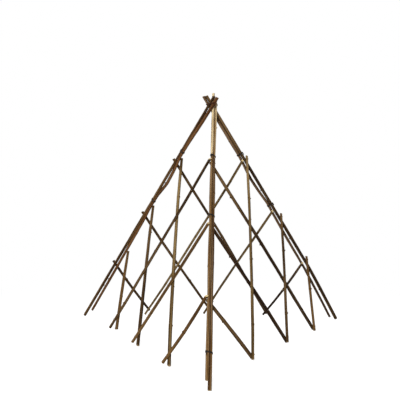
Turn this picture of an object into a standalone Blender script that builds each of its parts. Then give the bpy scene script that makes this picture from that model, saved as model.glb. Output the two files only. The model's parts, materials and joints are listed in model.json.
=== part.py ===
# Three-sided pyramid trellis of willow rods, shown open.
# Three lattice panels, each of four outer and four inner rods, meet along three legs.
# Metres, +Z up. The model is laid out from the apex, where the leg rods cross, and then set on the ground.

import math
import random

import bmesh
import bpy
import numpy as np
from mathutils import Matrix, Vector

# Overall form
LEG_SPREAD = math.radians(35.8)      # angle of each leg from the vertical, open as photographed
GROUND_DEPTH = 0.950                 # the ground below the apex, where the leg rods cross
LEG_REACH = GROUND_DEPTH / math.cos(LEG_SPREAD)      # from the apex down a leg to the ground
FOLD_OPEN = math.radians(-3.0)       # furthest fold of a leg each way from the open trellis
FOLD_CLOSED = math.radians(27.0)
LEG_AZIMUTHS = {"left": 150.0, "front": -90.0, "right": 30.0}

# Clearances between touching pieces
LAYER_GAP = 0.0010                   # between the outer and inner rods of a panel
PAIR_GAP = {"left": 0.0024, "front": 0.0010, "right": 0.0006}    # between the two rods of a leg
WIRE_GAP = 0.0004                    # between a wire and the rods in it
PIN_GAP = 0.0003                     # round a nail and under its head
PANEL_RISE = 0.003                   # a panel's middle plane passes this far outside the apex

# Radii of the rods, top end and bottom end
LEG_RADII = {
    "left": {"outer": (0.0067, 0.0050), "inner": (0.0056, 0.0062)},
    "front": {"outer": (0.0052, 0.0062), "inner": (0.0052, 0.0050)},
    "right": {"outer": (0.0056, 0.0049), "inner": (0.0058, 0.0068)},
}
LATTICE_RADII = {
    "front_left": {"outer": (0.0052, 0.0056), "inner": (0.0056, 0.0066)},
    "front_right": {"outer": (0.0050, 0.0054), "inner": (0.0058, 0.0067)},
    "back": {"outer": (0.0057, 0.0055), "inner": (0.0052, 0.0048)},
}

# Tips of the leg rods above the apex crossing
LEG_TIPS = {
    "left": {"outer": 0.046, "inner": 0.038},
    "front": {"outer": 0.028, "inner": 0.058},
    "right": {"outer": 0.046, "inner": 0.042},
}
# Height of a leg rod's cut end above the ground; each leg stands on one rod
LEG_CLEAR = {
    "left": {"outer": 0.036, "inner": 0.0},
    "front": {"outer": 0.0, "inner": 0.030},
    "right": {"outer": 0.009, "inner": 0.0},
}
# The two rods of a leg stand apart by this much more at the tips, between the two wires and at the foot
TIP_FAN = {"left": 0.020, "front": 0.006, "right": 0.0}
WAIST_BOW = {"left": 0.026, "front": 0.0, "right": 0.008}
FOOT_FAN = {"left": 0.029, "front": 0.002, "right": 0.010}
FAN_START = 0.52                     # along the leg, where the second wire lets the rods part
FAN_CURVE = 0.5                      # under one, the rods part quickly at first and then run straighter
# The foot of a leg stands in by this much, where its rods bend below their last ties
FOOT_BEND = {"left": 0.0, "front": 0.0, "right": 0.020}
BEND_BELOW = 0.020                   # from the last tie down to the start of the bend
BEND_CURVE = 1.3                     # over one, the bend begins gently

# Where the three lattice rods on each leg rod are pinned, along the leg from the apex
INNER_TIES = {
    "left": (0.253, 0.508, 0.742),
    "front": (0.288, 0.559, 0.858),
    "right": (0.266, 0.531, 0.815),
}
OUTER_TIES = {
    "left": (0.297, 0.580, 0.862),
    "front": (0.297, 0.585, 0.865),
    "right": (0.278, 0.583, 0.824),
}
# Stub of a lattice rod past the leg rod that it is pinned to
INNER_STUBS = {"left": 0.008, "front": 0.008, "right": 0.009}
OUTER_STUBS = {"left": 0.016, "front": 0.008, "right": 0.013}
# Height of a lattice rod's cut end above the ground
INNER_CLEAR = {
    "left": (0.004, 0.004, 0.013),
    "front": (0.010, 0.014, 0.021),
    "right": (0.010, 0.017, 0.016),
}
OUTER_CLEAR = {
    "left": (0.019, 0.021, 0.027),
    "front": (0.014, 0.013, 0.011),
    "right": (0.022, 0.020, 0.011),
}
# Each rod leaves the true lattice direction by a slant, and bows, both in the plane of its panel
INNER_SLANTS = {
    "left": (0.008, 0.050, 0.098),
    "front": (0.000, -0.018, -0.105),
    "right": (0.001, 0.005, -0.022),
}
OUTER_SLANTS = {
    "left": (0.028, -0.009, -0.007),
    "front": (0.034, 0.002, 0.020),
    "right": (0.019, -0.006, 0.060),
}
INNER_BOWS = {
    "left": (0.011, 0.004, 0.002),
    "front": (-0.006, -0.005, -0.003),
    "right": (0.006, -0.004, 0.004),
}
OUTER_BOWS = {
    "left": (-0.006, 0.004, 0.003),
    "front": (0.005, 0.002, 0.006),
    "right": (0.010, 0.004, -0.002),
}

# Growth of the rods
KNOT_PLACE = (0.3, 0.7)              # where in a free stretch its knot may be
KNOT_HEIGHT = 0.0006
KNOT_REACH = 0.011
KNOT_KINK = 0.0018                   # sideways bend of a lattice rod at a knot
LEG_KINK = 0.0008                    # the same for a leg rod
KNOT_CLEAR = 0.024                   # a knot keeps this far from a crossing
KNOT_ROOM = 0.020                    # the least free length that carries a knot
RING_SPACING = 0.075

# Pivot nails, whose axes are the hinge axes of the lattice rods
NAIL_RADIUS = 0.0011
NAIL_HEAD_RADIUS = 0.0024
NAIL_HEAD_HEIGHT = 0.0010
NAIL_HEAD_SINK = 0.0012              # depth of the head's seat below the bark
NAIL_POINT = 0.0020
NAIL_CROWN = 0.7                     # flat top of the head, as a share of its radius
NAIL_RIM = 0.4                       # height of the head's rim, as a share of the head's height
NAIL_TIP = 0.35                      # flat end of the point, as a share of the shank's radius
HOLE_SPARE = 0.006                   # a nail's hole is drilled on past the bark
NAIL_LEAN_DOWN = {"inner": 0.329, "outer": 0.451}      # down the lattice rod, for each unit of depth
NAIL_LEAN_ACROSS = {"inner": 0.180, "outer": 0.194}    # across it, for each unit of depth
FOLD_RATIO = {"inner": 1.830, "outer": 1.714}          # turn of a rod on its nail for each degree of fold

# Wires
TIE_WIRE = 0.0008
TIE_TURNS = 2
TIE_PITCH = 0.0027
TIE_ABOVE = 0.021                    # a leg's wire above the upper of the two nails there
TIE_TAIL = 0.008
FOOT_WIRE_RISE = 0.126               # the wire near the front foot, up the leg from the ground
LASHING_WIRE = 0.0010
LASHING_TURNS = 3
LASHING_PITCH = 0.0032
LASHING_TAIL = 0.010
LASHING_START = math.radians(-60.0)  # azimuth where the lashing starts and ends
TAIL_SPLAY = ((0.95, -0.35), (0.80, 0.50))      # the two ends of a wire: away from the bundle, and round it
TIE_STEPS = 16
LASHING_STEPS = 32

# Mesh detail
SHARP_ANGLE = math.radians(50.0)
MERGE = 0.00001
ROD_RESOLUTION = 2
WIRE_RESOLUTION = 1
NAIL_SIDES = 8
PASSES = 8                           # rounds that settle a place which depends on itself

ROWS = 3                             # lattice rods that each leg rod carries
PANELS = {"front_left": ("left", "front"), "front_right": ("front", "right"), "back": ("right", "left")}
FINISHES = {
    "bark_left": {"colour": (0.150, 0.088, 0.045), "roughness": 0.82, "metallic": 0.0},
    "bark_front": {"colour": (0.230, 0.135, 0.070), "roughness": 0.82, "metallic": 0.0},
    "bark_right": {"colour": (0.105, 0.060, 0.034), "roughness": 0.82, "metallic": 0.0},
    "black_annealed_wire": {"colour": (0.030, 0.024, 0.020), "roughness": 0.45, "metallic": 0.8},
    "steel_nail": {"colour": (0.180, 0.160, 0.150), "roughness": 0.40, "metallic": 1.0},
}


def unit(v):
    return v / np.linalg.norm(v)


def leg_vectors(leg):
    """Directions of a leg: down along it, round the pyramid, and horizontally outward."""
    azimuth = math.radians(LEG_AZIMUTHS[leg])
    out = np.array([math.cos(azimuth), math.sin(azimuth), 0.0])
    round_ = np.array([-math.sin(azimuth), math.cos(azimuth), 0.0])
    down = math.sin(LEG_SPREAD) * out - math.cos(LEG_SPREAD) * np.array([0.0, 0.0, 1.0])
    return down, round_, out


class Panel:
    """The plane of one lattice panel between leg a and leg b."""

    def __init__(self, name):
        self.name = name
        self.leg_a, self.leg_b = PANELS[name]
        self.a = leg_vectors(self.leg_a)[0]
        self.b = leg_vectors(self.leg_b)[0]
        self.out = unit(np.cross(self.a, self.b))
        self.cos = float(self.a @ self.b)
        self.sin = math.sqrt(1.0 - self.cos ** 2)
        self.from_a = unit(self.b - self.cos * self.a)
        self.from_b = unit(self.a - self.cos * self.b)


PANEL = {name: Panel(name) for name in PANELS}
PANEL_AFTER = {"left": PANEL["front_left"], "front": PANEL["front_right"], "right": PANEL["back"]}
PANEL_BEFORE = {"left": PANEL["back"], "front": PANEL["front_left"], "right": PANEL["front_right"]}


def smooth(x):
    x = min(max(x, 0.0), 1.0)
    return x * x * (3.0 - 2.0 * x)


def taper(radii, along, first, last):
    return radii[0] + (radii[1] - radii[0]) * (along - first) / (last - first)


def leg_radius(leg, layer, s):
    return taper(LEG_RADII[leg][layer], s, -LEG_TIPS[leg][layer], LEG_REACH)


def wire_places(leg):
    """Along the leg, where its two wires go."""
    return [min(INNER_TIES[leg][i], OUTER_TIES[leg][i]) - TIE_ABOVE for i in (0, 1)]


def inner_leg_point(leg, s):
    """The leg's inner rod lies inside the panel before it and against the middle plane of the one after."""
    r = leg_radius(leg, "inner", s)
    after, before = PANEL_AFTER[leg], PANEL_BEFORE[leg]
    rows = np.array([after.out, before.out, leg_vectors(leg)[0]])
    side = np.array([PANEL_RISE + LAYER_GAP / 2 + r, PANEL_RISE - LAYER_GAP / 2 - r, s])
    return np.linalg.solve(rows, side)


def outer_leg_point(leg, s):
    """The leg's outer rod lies beside the inner one, in the outer layer of the panel after it."""
    r = leg_radius(leg, "outer", s)
    panel = PANEL_AFTER[leg]
    apart = leg_radius(leg, "inner", s) + r + PAIR_GAP[leg]
    apart += TIP_FAN[leg] * (1.0 - smooth(s / INNER_TIES[leg][0]))
    first_wire, second_wire = wire_places(leg)
    between = min(max((s - first_wire) / (second_wire - first_wire), 0.0), 1.0)
    apart += WAIST_BOW[leg] * math.sin(math.pi * between) ** 2
    below = max(0.0, s - FAN_START) / (LEG_REACH - FAN_START)
    apart += FOOT_FAN[leg] * below ** FAN_CURVE
    across = panel.from_a @ inner_leg_point(leg, s) + apart
    rows = np.array([panel.out, panel.from_a, panel.a])
    return np.linalg.solve(rows, np.array([PANEL_RISE + LAYER_GAP / 2 + r, across, s]))


def leg_point(leg, layer, s):
    """The leg's rods, which run straight down to the last ties and then bend in toward the foot."""
    point = inner_leg_point(leg, s) if layer == "inner" else outer_leg_point(leg, s)
    start = max(INNER_TIES[leg][-1], OUTER_TIES[leg][-1]) + BEND_BELOW
    bent = max(0.0, (s - start) / (LEG_REACH - start))
    return point - FOOT_BEND[leg] * bent ** BEND_CURVE * leg_vectors(leg)[2]


def crossing_with_leg(panel, layer, tie):
    """Distance along a lattice rod from the leg line to the leg rod it is pinned to."""
    if layer == "inner":
        leg, side, along, leg_dir, rod_dir = panel.leg_a, panel.from_a, "outer", panel.a, panel.b
    else:
        leg, side, along, leg_dir, rod_dir = panel.leg_b, panel.from_b, "inner", panel.b, panel.a
    v = 0.0
    for _ in range(PASSES):
        s = (tie * leg_dir + v * rod_dir) @ leg_dir
        v = float(side @ leg_point(leg, along, s)) / panel.sin
    return v


def crossing_with_rod(panel, layer, tie, slant, other_tie, other_slant):
    """Distance along a lattice rod from its leg line to a rod of the panel's other layer."""
    if layer == "inner":
        along, leg, toward = panel.b, panel.a, panel.from_b
        other_along, other_toward = panel.a, panel.from_a
    else:
        along, leg, toward = panel.a, panel.b, panel.from_a
        other_along, other_toward = panel.b, panel.from_b
    rows = np.array([along + slant * toward, -(other_along + other_slant * other_toward), panel.out])
    return np.linalg.solve(rows.T, other_tie * along - tie * leg)[0]


class Rod:
    """One willow rod: its centre line, its radii, and the nail it turns on if it has one."""

    def __init__(self, name, body, leg, layer):
        self.name = name
        self.body = body
        self.leg = leg
        self.layer = layer
        self.stations = []
        self.points = []
        self.radii = []
        self.hinge = None
        self.crossings = []

    def centre_at(self, along):
        return np.array([np.interp(along, self.stations, [p[i] for p in self.points]) for i in range(3)])

    def radius_near(self, along, reach):
        near = np.linspace(along - reach, along + reach, 5)
        return float(max(np.interp(near, self.stations, self.radii)))


def rod_stations(first, last, knots):
    """Places along a rod that get a ring of the mesh, with the height of the knot at each."""
    stations = {first: 0.0, last: 0.0}
    for knot in knots:
        for shift, height in ((-KNOT_REACH, 0.0), (0.0, KNOT_HEIGHT), (KNOT_REACH, 0.0)):
            stations[knot + shift] = height
    ordered = sorted(stations)
    for here, after in zip(ordered, ordered[1:]):
        extra = int((after - here) / RING_SPACING)
        for i in range(extra):
            stations[here + (after - here) * (i + 1) / (extra + 1)] = 0.0
    return sorted(stations.items())


def knot_places(first, last, crossings, rng):
    """One knot in each stretch between crossings that has room for it."""
    stops = sorted([first] + [c for c in crossings if first < c < last] + [last])
    knots = []
    for here, after in zip(stops, stops[1:]):
        room = after - here - 2 * KNOT_CLEAR
        if room > KNOT_ROOM:
            knots.append(here + KNOT_CLEAR + room * rng.uniform(*KNOT_PLACE))
    return knots


def cut_at_ground(centre, radius, direction, clear):
    """Length of a rod whose square-cut end comes down to a height above the ground."""
    drop = -direction[2]
    rim = radius * math.sqrt(1.0 - drop ** 2)
    last = 0.0
    for _ in range(PASSES):
        last += (centre(last)[2] - rim + GROUND_DEPTH - clear) / drop
    return last


def kink_at(along, still, knots, kinks):
    """Sideways shift of a rod that bends at its knots and not at the places named still."""
    stops = sorted([(place, 0.0) for place in still] + list(zip(knots, kinks)))
    return float(np.interp(along, [place for place, _ in stops], [shift for _, shift in stops]))


def lay_leg_rod(leg, layer, seed):
    rng = random.Random(seed)
    rod = Rod("%s_leg_%s_rod" % (leg, layer), "%s_leg" % leg, leg, layer)
    first = -LEG_TIPS[leg][layer]
    last = cut_at_ground(lambda s: leg_point(leg, layer, s), LEG_RADII[leg][layer][1], leg_vectors(leg)[0],
                         LEG_CLEAR[leg][layer])
    ties = INNER_TIES[leg] if layer == "outer" else OUTER_TIES[leg]
    rod.crossings = [0.0] + list(ties)
    knots = knot_places(first, last, rod.crossings, rng)
    side = PANEL_AFTER[leg].from_a if layer == "outer" else PANEL_BEFORE[leg].from_b
    kinks = [LEG_KINK * rng.uniform(0.3, 1.0) for _ in knots]
    still = rod.crossings + [first, last]
    for s, height in rod_stations(first, last, knots):
        rod.stations.append(s)
        rod.points.append(leg_point(leg, layer, s) + kink_at(s, still, knots, kinks) * side)
        rod.radii.append(leg_radius(leg, layer, s) + height)
    return rod


def lay_lattice_rod(panel, layer, i, seed):
    rng = random.Random(seed)
    if layer == "inner":
        leg, leg_dir, rod_dir, toward_leg = panel.leg_a, panel.a, panel.b, panel.from_b
        tie, stub, clear = INNER_TIES[leg][i], INNER_STUBS[leg], INNER_CLEAR[leg][i]
        slant, bow, side_sign, far_leg = INNER_SLANTS[leg][i], INNER_BOWS[leg][i], -1.0, panel.leg_b
    else:
        leg, leg_dir, rod_dir, toward_leg = panel.leg_b, panel.b, panel.a, panel.from_a
        tie, stub, clear = OUTER_TIES[leg][i], OUTER_STUBS[leg], OUTER_CLEAR[leg][i]
        slant, bow, side_sign, far_leg = OUTER_SLANTS[leg][i], OUTER_BOWS[leg][i], 1.0, panel.leg_a
    name = "%s_%s_rod_%d" % (panel.name, layer, i + 1)
    rod = Rod(name, name, leg, layer)
    radii = LATTICE_RADII[panel.name][layer]
    pin = crossing_with_leg(panel, layer, tie)
    across_at_ground = side_sign * (LAYER_GAP / 2 + radii[1]) + PANEL_RISE
    last = cut_at_ground(lambda v: tie * leg_dir + v * rod_dir + slant * (v - pin) * toward_leg
                         + across_at_ground * panel.out, radii[1], rod_dir, clear)
    first = pin - stub
    others = zip(OUTER_TIES[far_leg], OUTER_SLANTS[far_leg]) if layer == "inner" else zip(
        INNER_TIES[far_leg], INNER_SLANTS[far_leg])
    rod.crossings = [pin] + [crossing_with_rod(panel, layer, tie, slant, *other) for other in others]
    knots = knot_places(first, last, rod.crossings, rng)
    signs = [(-1) ** j for j in range(len(knots))]
    kinks = [KNOT_KINK * rng.uniform(0.4, 1.0) * sign for sign in signs]

    def centre(v):
        r = taper(radii, v, first, last)
        in_plane = kink_at(v, [first, last], knots, kinks)
        in_plane += slant * (v - pin) + bow * math.sin(math.pi * (v - first) / (last - first))
        return (tie * leg_dir + v * rod_dir + in_plane * toward_leg
                + (PANEL_RISE + side_sign * (LAYER_GAP / 2 + r)) * panel.out)

    for v, height in rod_stations(first, last, knots):
        rod.points.append(centre(v))
        rod.radii.append(taper(radii, v, first, last) + height)

    # The nail goes through the crossing, leaning, from the outer rod's bark to the inner rod's
    other = "outer" if layer == "inner" else "inner"
    at_leg = leg_point(leg, other, (tie * leg_dir + pin * rod_dir) @ leg_dir)
    here = centre(pin)
    here_r = taper(radii, pin, first, last)
    leg_r = leg_radius(leg, other, float(at_leg @ leg_dir))
    middle = here - side_sign * (here_r + LAYER_GAP / 2) * panel.out
    lean = unit(panel.out + NAIL_LEAN_DOWN[layer] * rod_dir + NAIL_LEAN_ACROSS[layer] * toward_leg)
    outer_r, inner_r = (leg_r, here_r) if layer == "inner" else (here_r, leg_r)
    facing = float(lean @ panel.out)
    rod.hinge = {
        "name": "%s_%s_nail_%d" % (panel.name, layer, i + 1),
        "centre": middle,
        "lean": lean,
        "axis": -lean if layer == "inner" else lean,
        "out": (LAYER_GAP / 2 + 2 * outer_r) / facing,
        "in": (LAYER_GAP / 2 + 2 * inner_r) / facing,
        "leg_rod": "%s_leg_%s_rod" % (leg, other),
        "turn_per_fold": FOLD_RATIO[layer],
    }
    return rod


def finish(name):
    values = FINISHES[name]
    material = bpy.data.materials.new(name)
    material.use_nodes = True
    shader = material.node_tree.nodes["Principled BSDF"]
    shader.inputs["Base Color"].default_value = (*values["colour"], 1.0)
    shader.inputs["Roughness"].default_value = values["roughness"]
    shader.inputs["Metallic"].default_value = values["metallic"]
    material.diffuse_color = (*values["colour"], 1.0)
    return material


def link(obj, collection, parent, material=None):
    collection.objects.link(obj)
    obj.parent = parent
    if material:
        obj.data.materials.append(material)
    return obj


def tube_mesh(name, points, radii, origin, bevel_resolution):
    """A curve with round caps made into a closed mesh whose origin is the given point."""
    curve = bpy.data.curves.new(name, "CURVE")
    curve.dimensions = "3D"
    curve.twist_mode = "MINIMUM"
    curve.bevel_depth = 1.0
    curve.bevel_resolution = bevel_resolution
    curve.use_fill_caps = True
    spline = curve.splines.new("POLY")
    spline.points.add(len(points) - 1)
    for target, point, radius in zip(spline.points, points, radii):
        target.co = (*(np.array(point) - origin), 1.0)
        target.radius = radius
    maker = bpy.data.objects.new(name + "_path", curve)
    bpy.context.scene.collection.objects.link(maker)
    depsgraph = bpy.context.evaluated_depsgraph_get()
    mesh = bpy.data.meshes.new_from_object(maker.evaluated_get(depsgraph))
    bpy.data.objects.remove(maker)
    bpy.data.curves.remove(curve)
    made = bmesh.new()
    made.from_mesh(mesh)
    bmesh.ops.remove_doubles(made, verts=made.verts, dist=MERGE)
    bmesh.ops.recalc_face_normals(made, faces=made.faces)
    made.to_mesh(mesh)
    made.free()
    mesh.name = name
    mesh.shade_smooth()
    mesh.set_sharp_from_angle(angle=SHARP_ANGLE)
    return mesh


def turned(name, profile, steps):
    """A closed turned solid about its own Z from a profile given top to bottom as (radius, height)."""
    mesh = bpy.data.meshes.new(name)
    outline = bmesh.new()
    corners = [outline.verts.new((r, 0.0, z)) for r, z in profile]
    for here, after in zip(corners, corners[1:]):
        outline.edges.new((here, after))
    outline.to_mesh(mesh)
    outline.free()
    obj = bpy.data.objects.new(name, mesh)
    screw = obj.modifiers.new("turn", "SCREW")
    screw.steps = steps
    screw.render_steps = steps
    screw.use_merge_vertices = True
    screw.merge_threshold = MERGE
    screw.use_smooth_shade = False
    return obj


def stand_on_axis(obj, origin, z_axis):
    """Place an object with its Z along the given direction, in its parent's space."""
    turn = Vector(z_axis).to_track_quat("Z", "Y").to_matrix().to_4x4()
    obj.matrix_local = Matrix.Translation(Vector(origin)) @ turn


def nail_profile(hinge):
    top = hinge["out"] - NAIL_HEAD_SINK
    r, head = NAIL_RADIUS, NAIL_HEAD_RADIUS
    end = -hinge["in"] + PIN_GAP
    crown = top + NAIL_HEAD_HEIGHT
    rim = top + NAIL_RIM * NAIL_HEAD_HEIGHT
    return [(0.0, crown), (NAIL_CROWN * head, crown), (head, rim), (head, top),
            (r, top), (r, end + NAIL_POINT), (NAIL_TIP * r, end), (0.0, end)]


def hole_profile(hinge):
    """Hole for the shank with a seat for the head, a little larger all round."""
    seat = hinge["out"] - NAIL_HEAD_SINK - PIN_GAP
    r, head = NAIL_RADIUS + PIN_GAP, NAIL_HEAD_RADIUS + PIN_GAP
    start, end = hinge["out"] + HOLE_SPARE, -hinge["in"] - HOLE_SPARE
    return [(0.0, start), (head, start), (head, seat), (r, seat), (r, end), (0.0, end)]


def wrap_point(ellipses, angle):
    """Furthest point of a group of ellipses: each a centre x and y, half-length, half-width and turn."""
    u = np.array([math.cos(angle), math.sin(angle)])
    best = None
    for cx, cy, length, width, turn in ellipses:
        major = np.array([math.cos(turn), math.sin(turn)])
        minor = np.array([-major[1], major[0]])
        a, b = length * float(u @ major), width * float(u @ minor)
        reach = math.hypot(a, b)
        centre = np.array([cx, cy])
        value = float(u @ centre) + reach
        if best is None or value > best[0]:
            best = (value, centre + (length * a * major + width * b * minor) / reach)
    return best[1]


def with_tails(turns, length, centre, axis):
    """The turns of a wire with its two ends bent out from what it binds."""
    ends = []
    for end, (away, round_) in zip((turns[0], turns[-1]), TAIL_SPLAY):
        out = end - centre
        out = unit(out - (out @ axis) * axis)
        ends.append(length * (away * out + round_ * np.cross(axis, out)))
    head, tail = ends
    return [turns[0] + head, turns[0] + head / 2] + turns + [turns[-1] + tail / 2, turns[-1] + tail]


def least_gap(points, radius, steps):
    """The least gap of a wound wire to itself, between points that are half a turn or more apart."""
    places = np.array(points)
    half = steps // 2
    gaps = [np.linalg.norm(places[i + half:] - places[i], axis=1).min() for i in range(len(places) - half)]
    return min(gaps) - 2 * radius


def leg_wire_path(leg, rods, along):
    """Turns of wire round the two rods of a leg, and the middle of the turns."""
    down, _, outward = leg_vectors(leg)
    pair = [rods["%s_leg_%s_rod" % (leg, layer)] for layer in ("inner", "outer")]
    first, second = (rod.centre_at(along) for rod in pair)
    x_axis = unit(second - first)
    y_axis = np.cross(down, x_axis)
    centre = (first + second) / 2
    half = float(np.linalg.norm(second - first)) / 2
    r1, r2 = (rod.radius_near(along, TIE_TURNS * TIE_PITCH) + TIE_WIRE + WIRE_GAP for rod in pair)
    circles = [(-half, 0.0, r1, r1, 0.0), (half, 0.0, r2, r2, 0.0)]
    start = math.atan2(float(outward @ y_axis), float(outward @ x_axis))
    turns = []
    for i in range(TIE_TURNS * TIE_STEPS + 1):
        x, y = wrap_point(circles, start + 2 * math.pi * i / TIE_STEPS)
        lift = TIE_PITCH * (i / TIE_STEPS - TIE_TURNS / 2)
        turns.append(centre + x * x_axis + y * y_axis + lift * down)
    return with_tails(turns, TIE_TAIL, centre, down), centre


def leg_sections(rods, height):
    """Ellipses that clear the six leg rods at a height, with the trellis open, as built and closed."""
    sections = []
    leg_rods = [rod for rod in rods.values() if not rod.hinge]
    for rod in leg_rods:
        for fold in (FOLD_OPEN, 0.0, FOLD_CLOSED):
            turn = np.array(Matrix.Rotation(fold, 3, Vector(leg_vectors(rod.leg)[1])))
            s = 0.0
            for _ in range(PASSES):
                at = turn @ rod.centre_at(s)
                run = turn @ unit(rod.centre_at(s + LASHING_WIRE) - rod.centre_at(s))
                s += (height - at[2]) / run[2]
            r = leg_radius(rod.leg, rod.layer, s) + LASHING_WIRE + WIRE_GAP
            sections.append((at[0], at[1], r / abs(run[2]), r, math.atan2(run[1], run[0])))
    return sections


def lashing_path(rods):
    """Turns of wire round the six leg rods where they cross, with the slack the rods need to fold."""
    turns = []
    for i in range(LASHING_TURNS * LASHING_STEPS + 1):
        height = LASHING_PITCH * (i / LASHING_STEPS - LASHING_TURNS / 2)
        angle = LASHING_START + 2 * math.pi * i / LASHING_STEPS
        x, y = wrap_point(leg_sections(rods, height), angle)
        turns.append(np.array([x, y, height]))
    return with_tails(turns, LASHING_TAIL, np.zeros(3), np.array([0.0, 0.0, 1.0]))


def clear_scene():
    for obj in list(bpy.data.objects):
        bpy.data.objects.remove(obj, do_unlink=True)


def new_collection(name):
    collection = bpy.data.collections.new(name)
    bpy.context.scene.collection.children.link(collection)
    return collection


def empty(name, collection, parent=None):
    obj = bpy.data.objects.new(name, None)
    obj.empty_display_size = 0.05
    collection.objects.link(obj)
    obj.parent = parent
    return obj


def build_rods(parts, legs):
    bark = {leg: finish("bark_%s" % leg) for leg in LEG_AZIMUTHS}
    rods = {}
    objects = {}
    seed = 11
    for leg in LEG_AZIMUTHS:
        for layer in ("outer", "inner"):
            rod = lay_leg_rod(leg, layer, seed)
            rods[rod.name] = rod
            seed += 1
    for panel in PANEL.values():
        for layer in ("outer", "inner"):
            for i in range(ROWS):
                rod = lay_lattice_rod(panel, layer, i, seed)
                rods[rod.name] = rod
                seed += 1
    for rod in rods.values():
        origin = rod.hinge["centre"] if rod.hinge else np.zeros(3)
        mesh = tube_mesh(rod.name, rod.points, rod.radii, origin, ROD_RESOLUTION)
        obj = bpy.data.objects.new(rod.name, mesh)
        link(obj, parts, legs[rod.leg], bark[rod.leg])
        obj.location = Vector(origin)
        if rod.hinge:
            obj["turn_per_fold"] = rod.hinge["turn_per_fold"]
        objects[rod.name] = obj
    return rods, objects


def pin_rods(rods, objects, parts, cutters, legs):
    steel = finish("steel_nail")
    for rod in rods.values():
        if not rod.hinge:
            continue
        hinge = rod.hinge
        nail = turned(hinge["name"], nail_profile(hinge), NAIL_SIDES)
        link(nail, parts, legs[rod.leg], steel)
        stand_on_axis(nail, hinge["centre"], hinge["lean"])
        hole = turned(hinge["name"] + "_hole", hole_profile(hinge), NAIL_SIDES)
        link(hole, cutters, legs[rod.leg])
        stand_on_axis(hole, hinge["centre"], hinge["lean"])
        hole.hide_render = True
        hole.display_type = "WIRE"
        for name in (rod.name, hinge["leg_rod"]):
            cut = objects[name].modifiers.new(hinge["name"], "BOOLEAN")
            cut.operation = "DIFFERENCE"
            cut.solver = "EXACT"
            cut.object = hole


def wind_wires(rods, parts, legs, root):
    wire = finish("black_annealed_wire")
    for leg in LEG_AZIMUTHS:
        places = [("%s_leg_wire_%d" % (leg, i + 1), s) for i, s in enumerate(wire_places(leg))]
        if leg == "front":
            places.append(("front_leg_foot_wire", LEG_REACH - FOOT_WIRE_RISE))
        for name, along in places:
            path, centre = leg_wire_path(leg, rods, along)
            mesh = tube_mesh(name, path, [TIE_WIRE] * len(path), centre, WIRE_RESOLUTION)
            obj = bpy.data.objects.new(name, mesh)
            link(obj, parts, legs[leg], wire)
            obj.location = Vector(centre)
            print("%s, least gap to itself: %.2f mm" % (name, 1000 * least_gap(path, TIE_WIRE, TIE_STEPS)))
    path = lashing_path(rods)
    gap = least_gap(path, LASHING_WIRE, LASHING_STEPS)
    print("apex_lashing, least gap to itself: %.2f mm" % (1000 * gap))
    mesh = tube_mesh("apex_lashing", path, [LASHING_WIRE] * len(path), np.zeros(3), WIRE_RESOLUTION)
    link(bpy.data.objects.new("apex_lashing", mesh), parts, root, wire)


def set_on_ground(root, parts):
    """Move the whole trellis so that the middle of its box, at the bottom, is the origin."""
    bpy.context.view_layer.update()
    low = np.array([np.inf] * 3)
    high = -low
    for obj in parts.objects:
        if obj.type != "MESH":
            continue
        for vertex in obj.data.vertices:
            place = np.array(obj.matrix_world @ vertex.co)
            low = np.minimum(low, place)
            high = np.maximum(high, place)
    root.location = Vector((-(low[0] + high[0]) / 2, -(low[1] + high[1]) / 2, -low[2]))
    bpy.context.view_layer.update()


def build():
    clear_scene()
    parts = new_collection("pyramid_trellis")
    cutters = new_collection("nail_holes")
    root = empty("trellis_apex", parts)
    legs = {leg: empty("%s_leg_hinge" % leg, parts, root) for leg in LEG_AZIMUTHS}
    rods, objects = build_rods(parts, legs)
    pin_rods(rods, objects, parts, cutters, legs)
    wind_wires(rods, parts, legs, root)
    set_on_ground(root, parts)
    return root, rods


trellis, trellis_rods = build()
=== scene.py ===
import json
import random
from math import atan2, copysign, cos, exp, hypot, pi, radians, remainder, sin, tan

import bpy
import numpy as np
from mathutils import Matrix, Vector, noise


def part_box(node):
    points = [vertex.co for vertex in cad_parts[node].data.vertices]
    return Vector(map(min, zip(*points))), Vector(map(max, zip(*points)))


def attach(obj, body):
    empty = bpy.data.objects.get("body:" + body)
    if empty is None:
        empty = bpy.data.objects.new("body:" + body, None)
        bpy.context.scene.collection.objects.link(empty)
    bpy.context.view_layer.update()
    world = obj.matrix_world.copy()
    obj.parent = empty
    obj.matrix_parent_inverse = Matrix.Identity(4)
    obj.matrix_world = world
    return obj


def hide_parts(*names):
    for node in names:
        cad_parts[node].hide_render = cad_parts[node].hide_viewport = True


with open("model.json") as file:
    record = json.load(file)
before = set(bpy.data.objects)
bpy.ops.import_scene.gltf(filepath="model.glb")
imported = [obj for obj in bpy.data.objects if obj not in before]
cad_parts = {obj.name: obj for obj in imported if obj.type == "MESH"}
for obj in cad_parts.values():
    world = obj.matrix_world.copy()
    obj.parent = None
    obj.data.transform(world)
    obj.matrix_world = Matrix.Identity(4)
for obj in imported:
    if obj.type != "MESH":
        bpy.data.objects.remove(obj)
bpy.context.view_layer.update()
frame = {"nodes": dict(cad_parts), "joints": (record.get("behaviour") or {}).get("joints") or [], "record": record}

# A folding pyramid trellis: three lattice panels of willow rods, nailed to paired leg rods and wired at the top

mm = 0.001
hinges = {joint["name"]: joint for joint in frame["joints"]}
apex = np.array(hinges["front_leg_fold"]["pos_m"])
bodyNames = {node: body for body, nodes in frame["record"]["behaviour"]["bodies"].items() for node in nodes}
rodNames = sorted(node for node in frame["nodes"] if "_rod" in node)
panelLegs = {"front_left": ("left", "front"), "front_right": ("front", "right"), "back": ("right", "left")}
print("frame loaded:", len(rodNames), "rods")


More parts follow.
